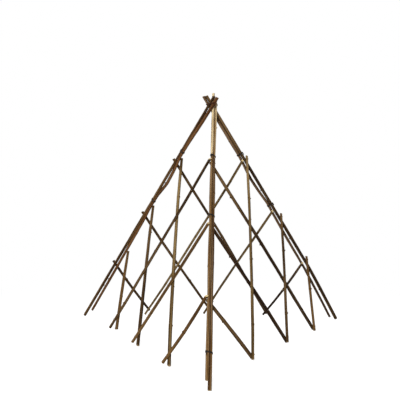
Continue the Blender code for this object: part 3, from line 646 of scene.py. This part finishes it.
def growRod(node, number):
    rod, traits = rods[node], rodHabits[node]
    rng = random.Random(100 + number)
    shape = RodMesh()
    total = rod["lengths"][-1]
    out = outwardOf(node)
    seed = Vector((rng.uniform(0, 50), rng.uniform(0, 50), rng.uniform(0, 50)))
    # the knots of an inner rod look inward, clear of the outer rods that fold over it
    inward = 180.0 if "inner" in node else 0.0
    spread, sizes = rodShape["knotSpread"], rodShape["knotSizes"]
    knots = [(s, radians(inward + rng.uniform(-spread, spread)), rng.uniform(*sizes)) for s in rod["knots"]]
    slants = (radians(traits["topSlant"]), radians(rng.uniform(-1, 1) * rodShape["cutSlant"]))
    freeSide, ties = legPairing(node, rod, out) if "_leg_" in node else (None, [])

    def alongRod(values, s):
        return float(np.interp(s / total * len(values) - 0.5, range(len(values)), values))

    def waveAt(s, rate, start):
        return start + Vector((0, 0, s * rate))

    def endShare(s, reach):
        return min(1.0, s / reach, (total - s) / reach)

    def nearCrossing(s, width):
        return max([bell(s - c, width) for c, _ in rod["crossings"]], default=0.0)

    def groove(angle):
        return max(0.0, -cos(angle - freeSide)) ** 2 if freeSide is not None else 0.0

    def toneAndGrooveShadeAt(s, angle):
        # painted shade in the groove between the two rods of a leg: the tone darkens on the side that faces the
        # partner
        return alongRod(traits["tones"], s) - rodShape["paintedGrooveShade"] * groove(angle)

    def pairGrowth(s, angle, rubbed):
        # swollen away from its partner, and pressed against it with no slit between
        free = 1.0 - max([rubbed] + [bell(s - c, rodShape["tieReach"]) for c in ties])
        away = softened(max(0.0, cos(angle - freeSide)))
        pressed = max(1.0 - s / rodShape["topPress"], min(1.0, max(0.0, s / rodShape["pressFrom"] - 1.0)))
        swollen = free * rodShape["swell"] * alongRod(traits["swell"], s) * away
        return swollen + pressed * rodShape["press"] * groove(angle)

    def growthAt(s, angle, radius, calm):
        oval = rodShape["oval"] * noise.noise(waveAt(s, rodShape["ovalRate"], seed * 1.7))
        ended = 1.0 - endShare(s, rodShape["endFade"])
        ridges = rodShape["ridges"] * softened(calm) * (1.0 - ended)
        facing = Vector((cos(angle), sin(angle), 0.0)) * rodShape["ridgeTurn"]
        growth = radius * oval * cos(2 * angle) * calm
        growth += ridges * noise.noise(waveAt(s, rodShape["ridgeRate"], seed + facing))
        # the bark is rubbed thin where rods cross, so that they pass each other as they fold
        rubbed = nearCrossing(s, rodShape["rubReach"])
        growth -= lineValues["barkThickness"] * max(rubbed, ended)
        if freeSide is not None:
            growth += pairGrowth(s, angle, rubbed)
        for place, turn, size in knots:
            growth += size * rodShape["knotSwell"] * bell(s - place, rodShape["knotSwellReach"])
            turned = turnedFrom(angle, turn, rodShape["bumpTurn"])
            growth += size * rodShape["knotBump"] * bell(s - place, rodShape["bumpLength"]) * turned
        return growth

    def surfacePoint(s, angle, shrink=1.0):
        calm = 1.0 - nearCrossing(s, rodShape["crossingReach"])
        calm *= endShare(s, rodShape["calmEnds"]) if 0.0 < s < total else 0.0
        step = lineValues["directionStep"]
        axis = rodDirection(rod, min(max(s, step), total - step))
        face = unit(out - (out @ axis) * axis)
        side = np.cross(axis, face)
        drift = noise.noise_vector(waveAt(s, rodShape["wanderRate"], seed))
        centre = rodPoint(rod, s) + rodShape["wander"] * calm * (drift[0] * face + drift[1] * side)
        radius = rodRadius(rod, s)
        reach = (radius + growthAt(s, angle, radius, calm)) * shrink
        return centre + reach * around(angle, face, side), reach, centre, (axis, face, side)

    def cutShift(s, angle):
        # how far the slanted cut moves a point along the rod
        for slant, near, sign in ((slants[0], s, 1.0), (slants[1], total - s, -1.0)):
            if near < rodShape["slantReach"]:
                lean = tan(abs(slant)) * rodRadius(rod, s) * (1.0 + copysign(1.0, slant) * cos(angle))
                return sign * lean * (1.0 - near / rodShape["slantReach"])
        return 0.0

    def middleShift(s):
        return 0.5 * (cutShift(s, 0.0) + cutShift(s, pi))

    def spaceAt(s, angle, reach):
        return reach * cos(angle), reach * sin(angle), s + rodShape["textureStep"] * number

    def barkMarks(s, angle):
        reach, width = rodShape["knotDark"], rodShape["knotDarkTurn"]
        dark = max([bell(s - place, reach) * softened(turnedFrom(angle, turn, width))
                    for place, turn, _ in knots], default=0.0)
        peel = min(1.0, max(0.0, (traits["peelTo"] - s) / rodShape["peelFade"] + 0.5))
        wear = rodShape["crossingWear"] * nearCrossing(s, rodShape["wearReach"])
        return dark, max(traits["peel"] * peel, wear), 0.0, toneAndGrooveShadeAt(s, angle)

    def addRing(s, shrink=1.0, fresh=None):
        # a shrunken ring lies on the cut face, which keeps its slant
        ring = []
        for angle in roundAngles(rodShape["sides"]):
            point, reach, _, axes = surfacePoint(s, angle, shrink)
            shift = middleShift(s) + (cutShift(s, angle) - middleShift(s)) * shrink
            marks = barkMarks(s, angle) if fresh is None else (0.0, 0.0, fresh, alongRod(traits["tones"], s))
            ring.append(shape.addPoint(point + shift * axes[0], spaceAt(s, angle, reach), *marks))
        return ring

    def addCut(s, ring, facing, fresh):
        for k, shrink in enumerate(rodShape["cutRings"]):
            inner = addRing(s, shrink, fresh)
            lower, upper = (inner, ring) if facing else (ring, inner)
            shape.bridge(lower, upper, min(k, 1))  # the rim is still bark
            ring = inner
        _, _, centre, axes = surfacePoint(s, 0.0)
        middle = shape.addPoint(centre + middleShift(s) * axes[0], spaceAt(s, 0.0, 0.0), 0.0, 0.0, fresh)
        shape.closeEnd(ring, middle, 1, facing)

    def addTwig(place, turn, size):
        surface, _, _, (axis, face, side) = surfacePoint(place, turn)
        outDirection = unit(around(turn, face, side) - twigShape["droop"] * axis)
        sideways = sideAxes(outDirection)
        radius, length = twigShape["radius"] * size, twigShape["length"] * size
        tone = alongRod(traits["tones"], place)
        last = None
        for height, scale in ((-twigShape["rootDepth"], twigShape["rootScale"]),
                              (twigShape["collar"], twigShape["collarScale"]), (length, 1.0)):
            ring = []
            for angle in roundAngles(twigShape["sides"]):
                point = surface + height * outDirection + radius * scale * around(angle, *sideways)
                space = (radius * cos(angle) * 2, radius * sin(angle) * 2, place + height)
                ring.append(shape.addPoint(point, space, twigShape["knotMark"], 0.0, 0.5, tone))
            if last:
                shape.bridge(last, ring, 0)
            last = ring
        inset, rise = twigShape["cutInset"], twigShape["cutRise"] * outDirection
        end = (1.0 - inset) * (surface + length * outDirection) + rise
        inner = [shape.addPoint(np.array(shape.points[k]) * inset + end, (twigShape["pithOffset"], 0.0, place),
                                fresh=0.45) for k in last]
        shape.bridge(last, inner, 1)
        middle = surface + (length + twigShape["tipRise"]) * outDirection
        tip = shape.addPoint(middle, (0.0, 0.0, place), fresh=0.3)
        shape.closeEnd(inner, tip, 1, False)

    rings = [addRing(s) for s in rodStations(rod)[1:-1]]
    for lower, upper in zip(rings, rings[1:]):
        shape.bridge(lower, upper, 0)
    addCut(0.0, rings[0], True, traits["freshTop"])
    addCut(total, rings[-1], False, traits["freshFoot"])
    for knot in knots:
        addTwig(*knot)
    piece = shape.build(node + "_bark", [materials[traits["finish"]], materials["cutWood"]])
    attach(piece, bodyNames[node])
    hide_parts(node)


noise.seed_set(rodShape["driftSeed"])  # without it the drift of the rods follows the clock
for number, rodName in enumerate(rodNames):
    growRod(rodName, number)
print("rods grown")


# Wires, each one unbroken round of turns with its two ends twisted together

# lifts, rises and drops are in radii or pitches of the wire
wireShape = {
    "sides": 10, "sharpAngle": 42, "twistTurns": 2.0, "twistStep": 14, "twistLean": 0.10, "strandApart": 1.02,
    "joinRise": 2.0, "joinLift": 1.2, "overLift": 1.9, "overSide": 0.3, "startLift": 1.4, "startDrop": 0.4,
    "strandDrop": 0.5, "endRise": 0.25, "endLift": 0.6,
}


def sweepTube(name, points, radii, material):
    # a round tube along a path, its rings carried on from one point to the next without twist
    points = [np.array(p) for p in points]
    side = sideAxes(unit(points[1] - points[0]))[0]
    rings = []
    for last, point, following, radius in zip(points[:1] + points, points, points[1:] + points[-1:], radii):
        tangent = unit(following - last)
        side = unit(side - (side @ tangent) * tangent)
        rings.append([point + radius * around(angle, side, np.cross(tangent, side))
                      for angle in roundAngles(wireShape["sides"])])
    return tubePiece(name, rings, material, wireShape["sharpAngle"])


def pulledRound(ellipses, offset, angle):
    # furthest point of a group of ellipses in one direction, moved out by the wire's radius
    direction = np.array([cos(angle), sin(angle)])
    best, touch = -1.0, None
    for x, y, major, minor, turn in ellipses:
        long, short = np.array([cos(turn), sin(turn)]), np.array([-sin(turn), cos(turn)])
        major, minor = major + offset, minor + offset
        a, b = major * (direction @ long), minor * (direction @ short)
        reach = hypot(a, b)
        if direction @ [x, y] + reach > best:
            best = direction @ [x, y] + reach
            touch = np.array([x, y]) + (major * a * long + minor * b * short) / reach
    return touch


def ellipsesAt(nodes, folded, centre, axis, across):
    # where each rod cuts a plane: its middle, half widths and lean; a leg that folds under a wire counts open,
    # as it stands and closed, for the slack that it needs
    found = []
    for node in nodes:
        rod, hinge = rods[node], hinges[legOf(node) + "_leg_fold"]
        for fold in (hinge["range_deg"][0], 0.0, hinge["range_deg"][1]) if folded else (0.0,):
            turn = np.array(Matrix.Rotation(radians(fold), 3, Vector(hinge["axis"])))
            s = lengthAt(rod, (rod["centres"] - apex) @ turn.T + apex - centre, axis)
            point, direction = turn @ (rodPoint(rod, s) - apex) + apex - centre, turn @ rodDirection(rod, s)
            radius = rodRadius(rod, s)
            found.append((point @ across[0], point @ across[1], radius / abs(direction @ axis), radius,
                          angleOf(direction, across)))
    return found


def twistStrand(foot, phase, along, aside, out, values):
    strand = []
    for share in np.linspace(0.0, 1.0, int(wireShape["twistTurns"] * wireShape["twistStep"]) + 1):
        angle = phase + 2 * pi * wireShape["twistTurns"] * share
        place = foot + share * values["twist"] * along
        strand.append(place + wireShape["strandApart"] * values["radius"] * around(angle, aside, out))
    return strand


def windRound(node, wound, centre, axis, toward, values):
    across = sideAxes(axis)
    radius, turns, pitch, steps = values["radius"], values["turns"], values["pitch"], values["steps"]
    startAngle = angleOf(toward, across) + values["swing"]

    def touchPoint(level, angle):
        ellipses = ellipsesAt(wound, values["folded"], level, axis, across)
        x, y = pulledRound(ellipses, radius + values["lift"], angle)
        return level + x * across[0] + y * across[1]

    turnPoints = [touchPoint(centre + pitch * (i / steps - turns / 2) * axis, startAngle + 2 * pi * i / steps)
                  for i in range(int(turns * steps) + 1)]
    out = unit(around(startAngle, *across))
    aside = np.cross(axis, out)
    # both ends come down over the turns and are twisted together against the rods
    join = centre + (pitch * turns / 2 + wireShape["joinRise"] * radius) * axis
    foot = touchPoint(join, startAngle) + wireShape["joinLift"] * radius * out
    over = (turnPoints[0] + foot) / 2 + wireShape["overLift"] * radius * out
    along = unit(axis - wireShape["twistLean"] * out)
    first, second = (twistStrand(foot, phase, along, aside, out, values) for phase in (0.0, pi))
    lead = [first[0] - wireShape["strandDrop"] * pitch * axis, over + wireShape["overSide"] * radius * aside,
            turnPoints[0] + wireShape["startLift"] * radius * out - wireShape["startDrop"] * pitch * axis]
    finishLead = turnPoints[-1] + wireShape["endRise"] * pitch * axis + wireShape["endLift"] * radius * out
    path = first[::-1] + lead + turnPoints + [finishLead] + second
    smooth = [(before + 2 * point + after) / 4 for before, point, after in zip(path, path[1:], path[2:])]
    smooth = [path[0]] + smooth + [path[-1]]
    piece = sweepTube(node + "_coil", smooth, [radius] * len(smooth), materials[values["finish"]])
    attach(piece, bodyNames[node])
    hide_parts(node)


# turns, slack and ends; a tie's ends stand to one side of its leg's outer face, the lashing's toward the front
tieValues = {"radius": 0.9 * mm, "turns": 3, "pitch": 2.1 * mm, "steps": 28, "lift": 0.15 * mm, "twist": 6 * mm,
             "swing": 0.35, "folded": False, "finish": "tieWire"}
lashingValues = {"radius": 0.9 * mm, "turns": 3, "pitch": 2.4 * mm, "steps": 72, "lift": 0.65 * mm,
                 "twist": 6 * mm, "swing": 0.0, "folded": True, "finish": "lashingWire",
                 "axis": (0.0, 0.0, -1.0), "toward": (0.55, -0.83, 0.0)}


def tieLeg(node):
    pair, axis, middle = pairOf(legOf(node)), legDirection(legOf(node)), nodeMiddle(node)
    places = [rodPoint(rods[name], lengthAt(rods[name], rods[name]["centres"] - middle, axis)) for name in pair]
    windRound(node, pair, sum(places) / 2, axis, outwardOf(node), tieValues)


for wireName in sorted(n for n in frame["nodes"] if "_wire" in n):
    tieLeg(wireName)
windRound("apex_lashing", [name for leg in ("left", "front", "right") for name in pairOf(leg)], apex,
          np.array(lashingValues["axis"]), np.array(lashingValues["toward"]), lashingValues)
print("wires wound")


# Nails

nailShape = {
    "sides": 24, "sharpAngle": 35, "shank": 1.1 * mm, "head": 2.5 * mm, "headHeight": 0.8 * mm, "proud": 0.7 * mm,
    "neck": 1.6 * mm, "pointLength": 2 * mm, "tip": 0.3,
    "crossingRise": 0.25 * mm, "crossingShank": 2.5 * mm,
    "clenchLength": 3.2 * mm, "clenchRadius": 0.7 * mm, "clenchRoot": 1.5 * mm, "clenchGap": 0.25 * mm,
    "clenchBend": 0.3 * mm, "clenchDip": 0.4 * mm, "clenchTaper": (1.0, 1.0, 1.0, 0.9, 0.35),
}
# the head from its crown to its underside: share of its radius, and of its height down from the top
headSteps = ((0.35, 0.0), (0.75, 0.10), (0.97, 0.38), (1.0, 0.6), (0.93, 1.0))


def latheMesh(name, profile, origin, axis):
    across = sideAxes(axis)
    angles = roundAngles(nailShape["sides"])
    rings = [[origin + height * axis + radius * around(angle, *across) for angle in angles]
             for radius, height in reversed(profile)]
    return tubePiece(name, rings, materials["nailSteel"], nailShape["sharpAngle"])


def headProfile(top):
    head, height = nailShape["head"], nailShape["headHeight"]
    steps = [(wide * head, top - down * height) for wide, down in headSteps]
    return steps + [(1.25 * nailShape["shank"], top - 1.05 * height)]


def makeLegNail(node):
    points = np.array([vertex.co for vertex in frame["nodes"][node].data.vertices])
    middle, axis = mainAxis(points)
    along = (points - middle) @ axis
    wide = np.linalg.norm((points - middle) - along[:, None] * axis, axis=1)
    if along[np.argmax(wide)] < 0:
        axis, along = -axis, -along
    top, shank = along.max() + nailShape["proud"], nailShape["shank"]
    end = along.min()
    profile = headProfile(top) + [(shank, top - nailShape["neck"]), (shank, end + nailShape["pointLength"]),
                                  (nailShape["tip"] * shank, end)]
    piece = latheMesh(node + "_steel", profile, middle, axis)
    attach(piece, bodyNames[node])
    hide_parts(node)


def makeCrossingNail(name, innerName, outerName, s, t):
    inner, outer = rods[innerName], rods[outerName]
    innerPoint, outerPoint = rodPoint(inner, s), rodPoint(outer, t)
    out = unit(outerPoint - innerPoint)
    headTop = rodRadius(outer, t) + nailShape["proud"] + nailShape["crossingRise"]
    shankEnd = (nailShape["shank"], headTop - nailShape["crossingShank"])
    head = latheMesh(name + "_head", headProfile(headTop) + [shankEnd], outerPoint, out)
    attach(head, bodyNames[outerName])
    # the point comes through the inner rod and is bent over along the bark
    along, reach = rodDirection(inner, s), nailShape["clenchLength"]
    base = innerPoint - (rodRadius(inner, s) - nailShape["clenchRoot"]) * out
    bend = innerPoint - (rodRadius(inner, s) + nailShape["clenchRadius"] + nailShape["clenchGap"]) * out
    path = [base, base + 0.7 * (bend - base), bend + nailShape["clenchBend"] * along, bend + 0.5 * reach * along,
            bend + reach * along + nailShape["clenchDip"] * out]
    thickness = [share * nailShape["clenchRadius"] for share in nailShape["clenchTaper"]]
    clench = sweepTube(name + "_clench", path, thickness, materials["nailSteel"])
    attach(clench, bodyNames[innerName])


def nailCrossings():
    count = 0
    for panel in panelLegs:
        for innerName in (name for name in rodNames if name.startswith(panel + "_inner_rod_")):
            for s, outerName in rods[innerName]["crossings"]:
                if outerName.startswith(panel + "_outer_rod_"):
                    t = [place for place, name in rods[outerName]["crossings"] if name == innerName][0]
                    name = "%s_crossing_nail_%s_%s" % (panel, innerName[-1], outerName[-1])
                    makeCrossingNail(name, innerName, outerName, s, t)
                    count += 1
    return count


for nailName in sorted(n for n in frame["nodes"] if "_nail_" in n):
    makeLegNail(nailName)
print("nails driven, and at crossings:", nailCrossings())


# Floor, lights and camera

white = (1.0, 1.0, 1.0, 1.0)
floorValues = {"size": 30.0, "colour": (0.60, 0.60, 0.60, 1.0), "roughness": 0.9, "specular": 0.1,
               "glow": 0.80, "clearFrom": 0.55, "clearTo": 1.6}
lightValues = {
    "key": {"place": (-0.40, -3.0, 1.45), "size": 0.45, "power": 85.0},
    "top": {"place": (0.3, -0.4, 3.2), "size": 1.2, "power": 16.0},
    "back": {"place": (0.35, 3.4, 1.3), "size": 1.0, "power": 45.0},
}
lightAim = (0.0, 0.0, 0.45)
worldStrength = 0.09
# camera in metres and degrees, set against the apex where the legs cross
cameraValues = {"fromApex": (-0.045, -2.521, -0.3094), "turn": 2.427, "tilt": 88.186, "roll": 0.310,
                "focalPixels": 615.3, "imagePixels": 400.0, "sensor": 36.0}


def seenDirectly(tree):
    light = addNode(tree, "ShaderNodeLightPath").outputs
    seen = calc(tree, "ADD", light["Is Camera Ray"], light["Is Glossy Ray"])
    return calc(tree, "ADD", seen, light["Is Transmission Ray"], clamp=True)


def addGlow(tree, strength):
    return addNode(tree, "ShaderNodeEmission", inputs={"Color": white, "Strength": strength}).outputs[0]


def makeFloor():
    # lit near the trellis, where it keeps the shadow, and plain white further out so that no horizon shows
    material, tree, shader = newMaterial("paleFloor")
    for label, key in (("Base Color", "colour"), ("Roughness", "roughness"), ("Specular IOR Level", "specular")):
        shader.inputs[label].default_value = floorValues[key]
    seen = seenDirectly(tree)
    far = ramp(tree, lengthOf(tree, objectPlace(tree)), floorValues["clearFrom"], floorValues["clearTo"])
    glow = addGlow(tree, calc(tree, "MULTIPLY", seen, floorValues["glow"]))
    lit = addNode(tree, "ShaderNodeAddShader", inputs={0: shader.outputs[0], 1: glow})
    mixed = addNode(tree, "ShaderNodeMixShader",
                    inputs={0: calc(tree, "MULTIPLY", seen, far), 1: lit.outputs[0], 2: addGlow(tree, 1.0)})
    tree.links.new(mixed.outputs[0], tree.nodes["Material Output"].inputs["Surface"])
    half = floorValues["size"] / 2
    corners = [(-half, -half, 0), (half, -half, 0), (half, half, 0), (-half, half, 0)]
    floor = newPiece("floor", corners, [(0, 1, 2, 3)], [material], wireShape["sharpAngle"])


def makeWorld():
    world = bpy.data.worlds.new("studio")
    bpy.context.scene.world = world
    world.use_nodes = True
    tree = world.node_tree
    tree.nodes.clear()
    strength = ramp(tree, seenDirectly(tree), 0.0, 1.0, worldStrength, 1.0, steps="LINEAR")
    background = addNode(tree, "ShaderNodeBackground", inputs={"Color": white, "Strength": strength})
    tree.links.new(background.outputs[0], addNode(tree, "ShaderNodeOutputWorld").inputs[0])


def makeLamp(name, values):
    lamp = bpy.data.lights.new(name, "AREA")
    lamp.shape = "DISK"
    lamp.size = values["size"]
    lamp.energy = values["power"]
    holder = addToScene(name, lamp)
    holder.location = values["place"]
    holder.rotation_euler = (Vector(lightAim) - Vector(values["place"])).to_track_quat("-Z", "Y").to_euler()


def makeCamera():
    camera = bpy.data.cameras.new("view")
    camera.sensor_width = cameraValues["sensor"]
    camera.sensor_fit = "HORIZONTAL"
    camera.lens = cameraValues["focalPixels"] / cameraValues["imagePixels"] * cameraValues["sensor"]
    turn, tilt, roll = (radians(cameraValues[key]) for key in ("turn", "tilt", "roll"))
    holder = addToScene("view", camera)
    holder.matrix_world = (Matrix.Translation(apex) @ Matrix.Rotation(turn, 4, "Z")
                           @ Matrix.Translation(cameraValues["fromApex"])
                           @ Matrix.Rotation(tilt, 4, "X") @ Matrix.Rotation(roll, 4, "Z"))
    bpy.context.scene.camera = holder


makeFloor()
makeWorld()
for lampName, lampValues in lightValues.items():
    makeLamp(lampName, lampValues)
makeCamera()
bpy.context.scene.view_settings.view_transform = "Standard"
print("stage set")
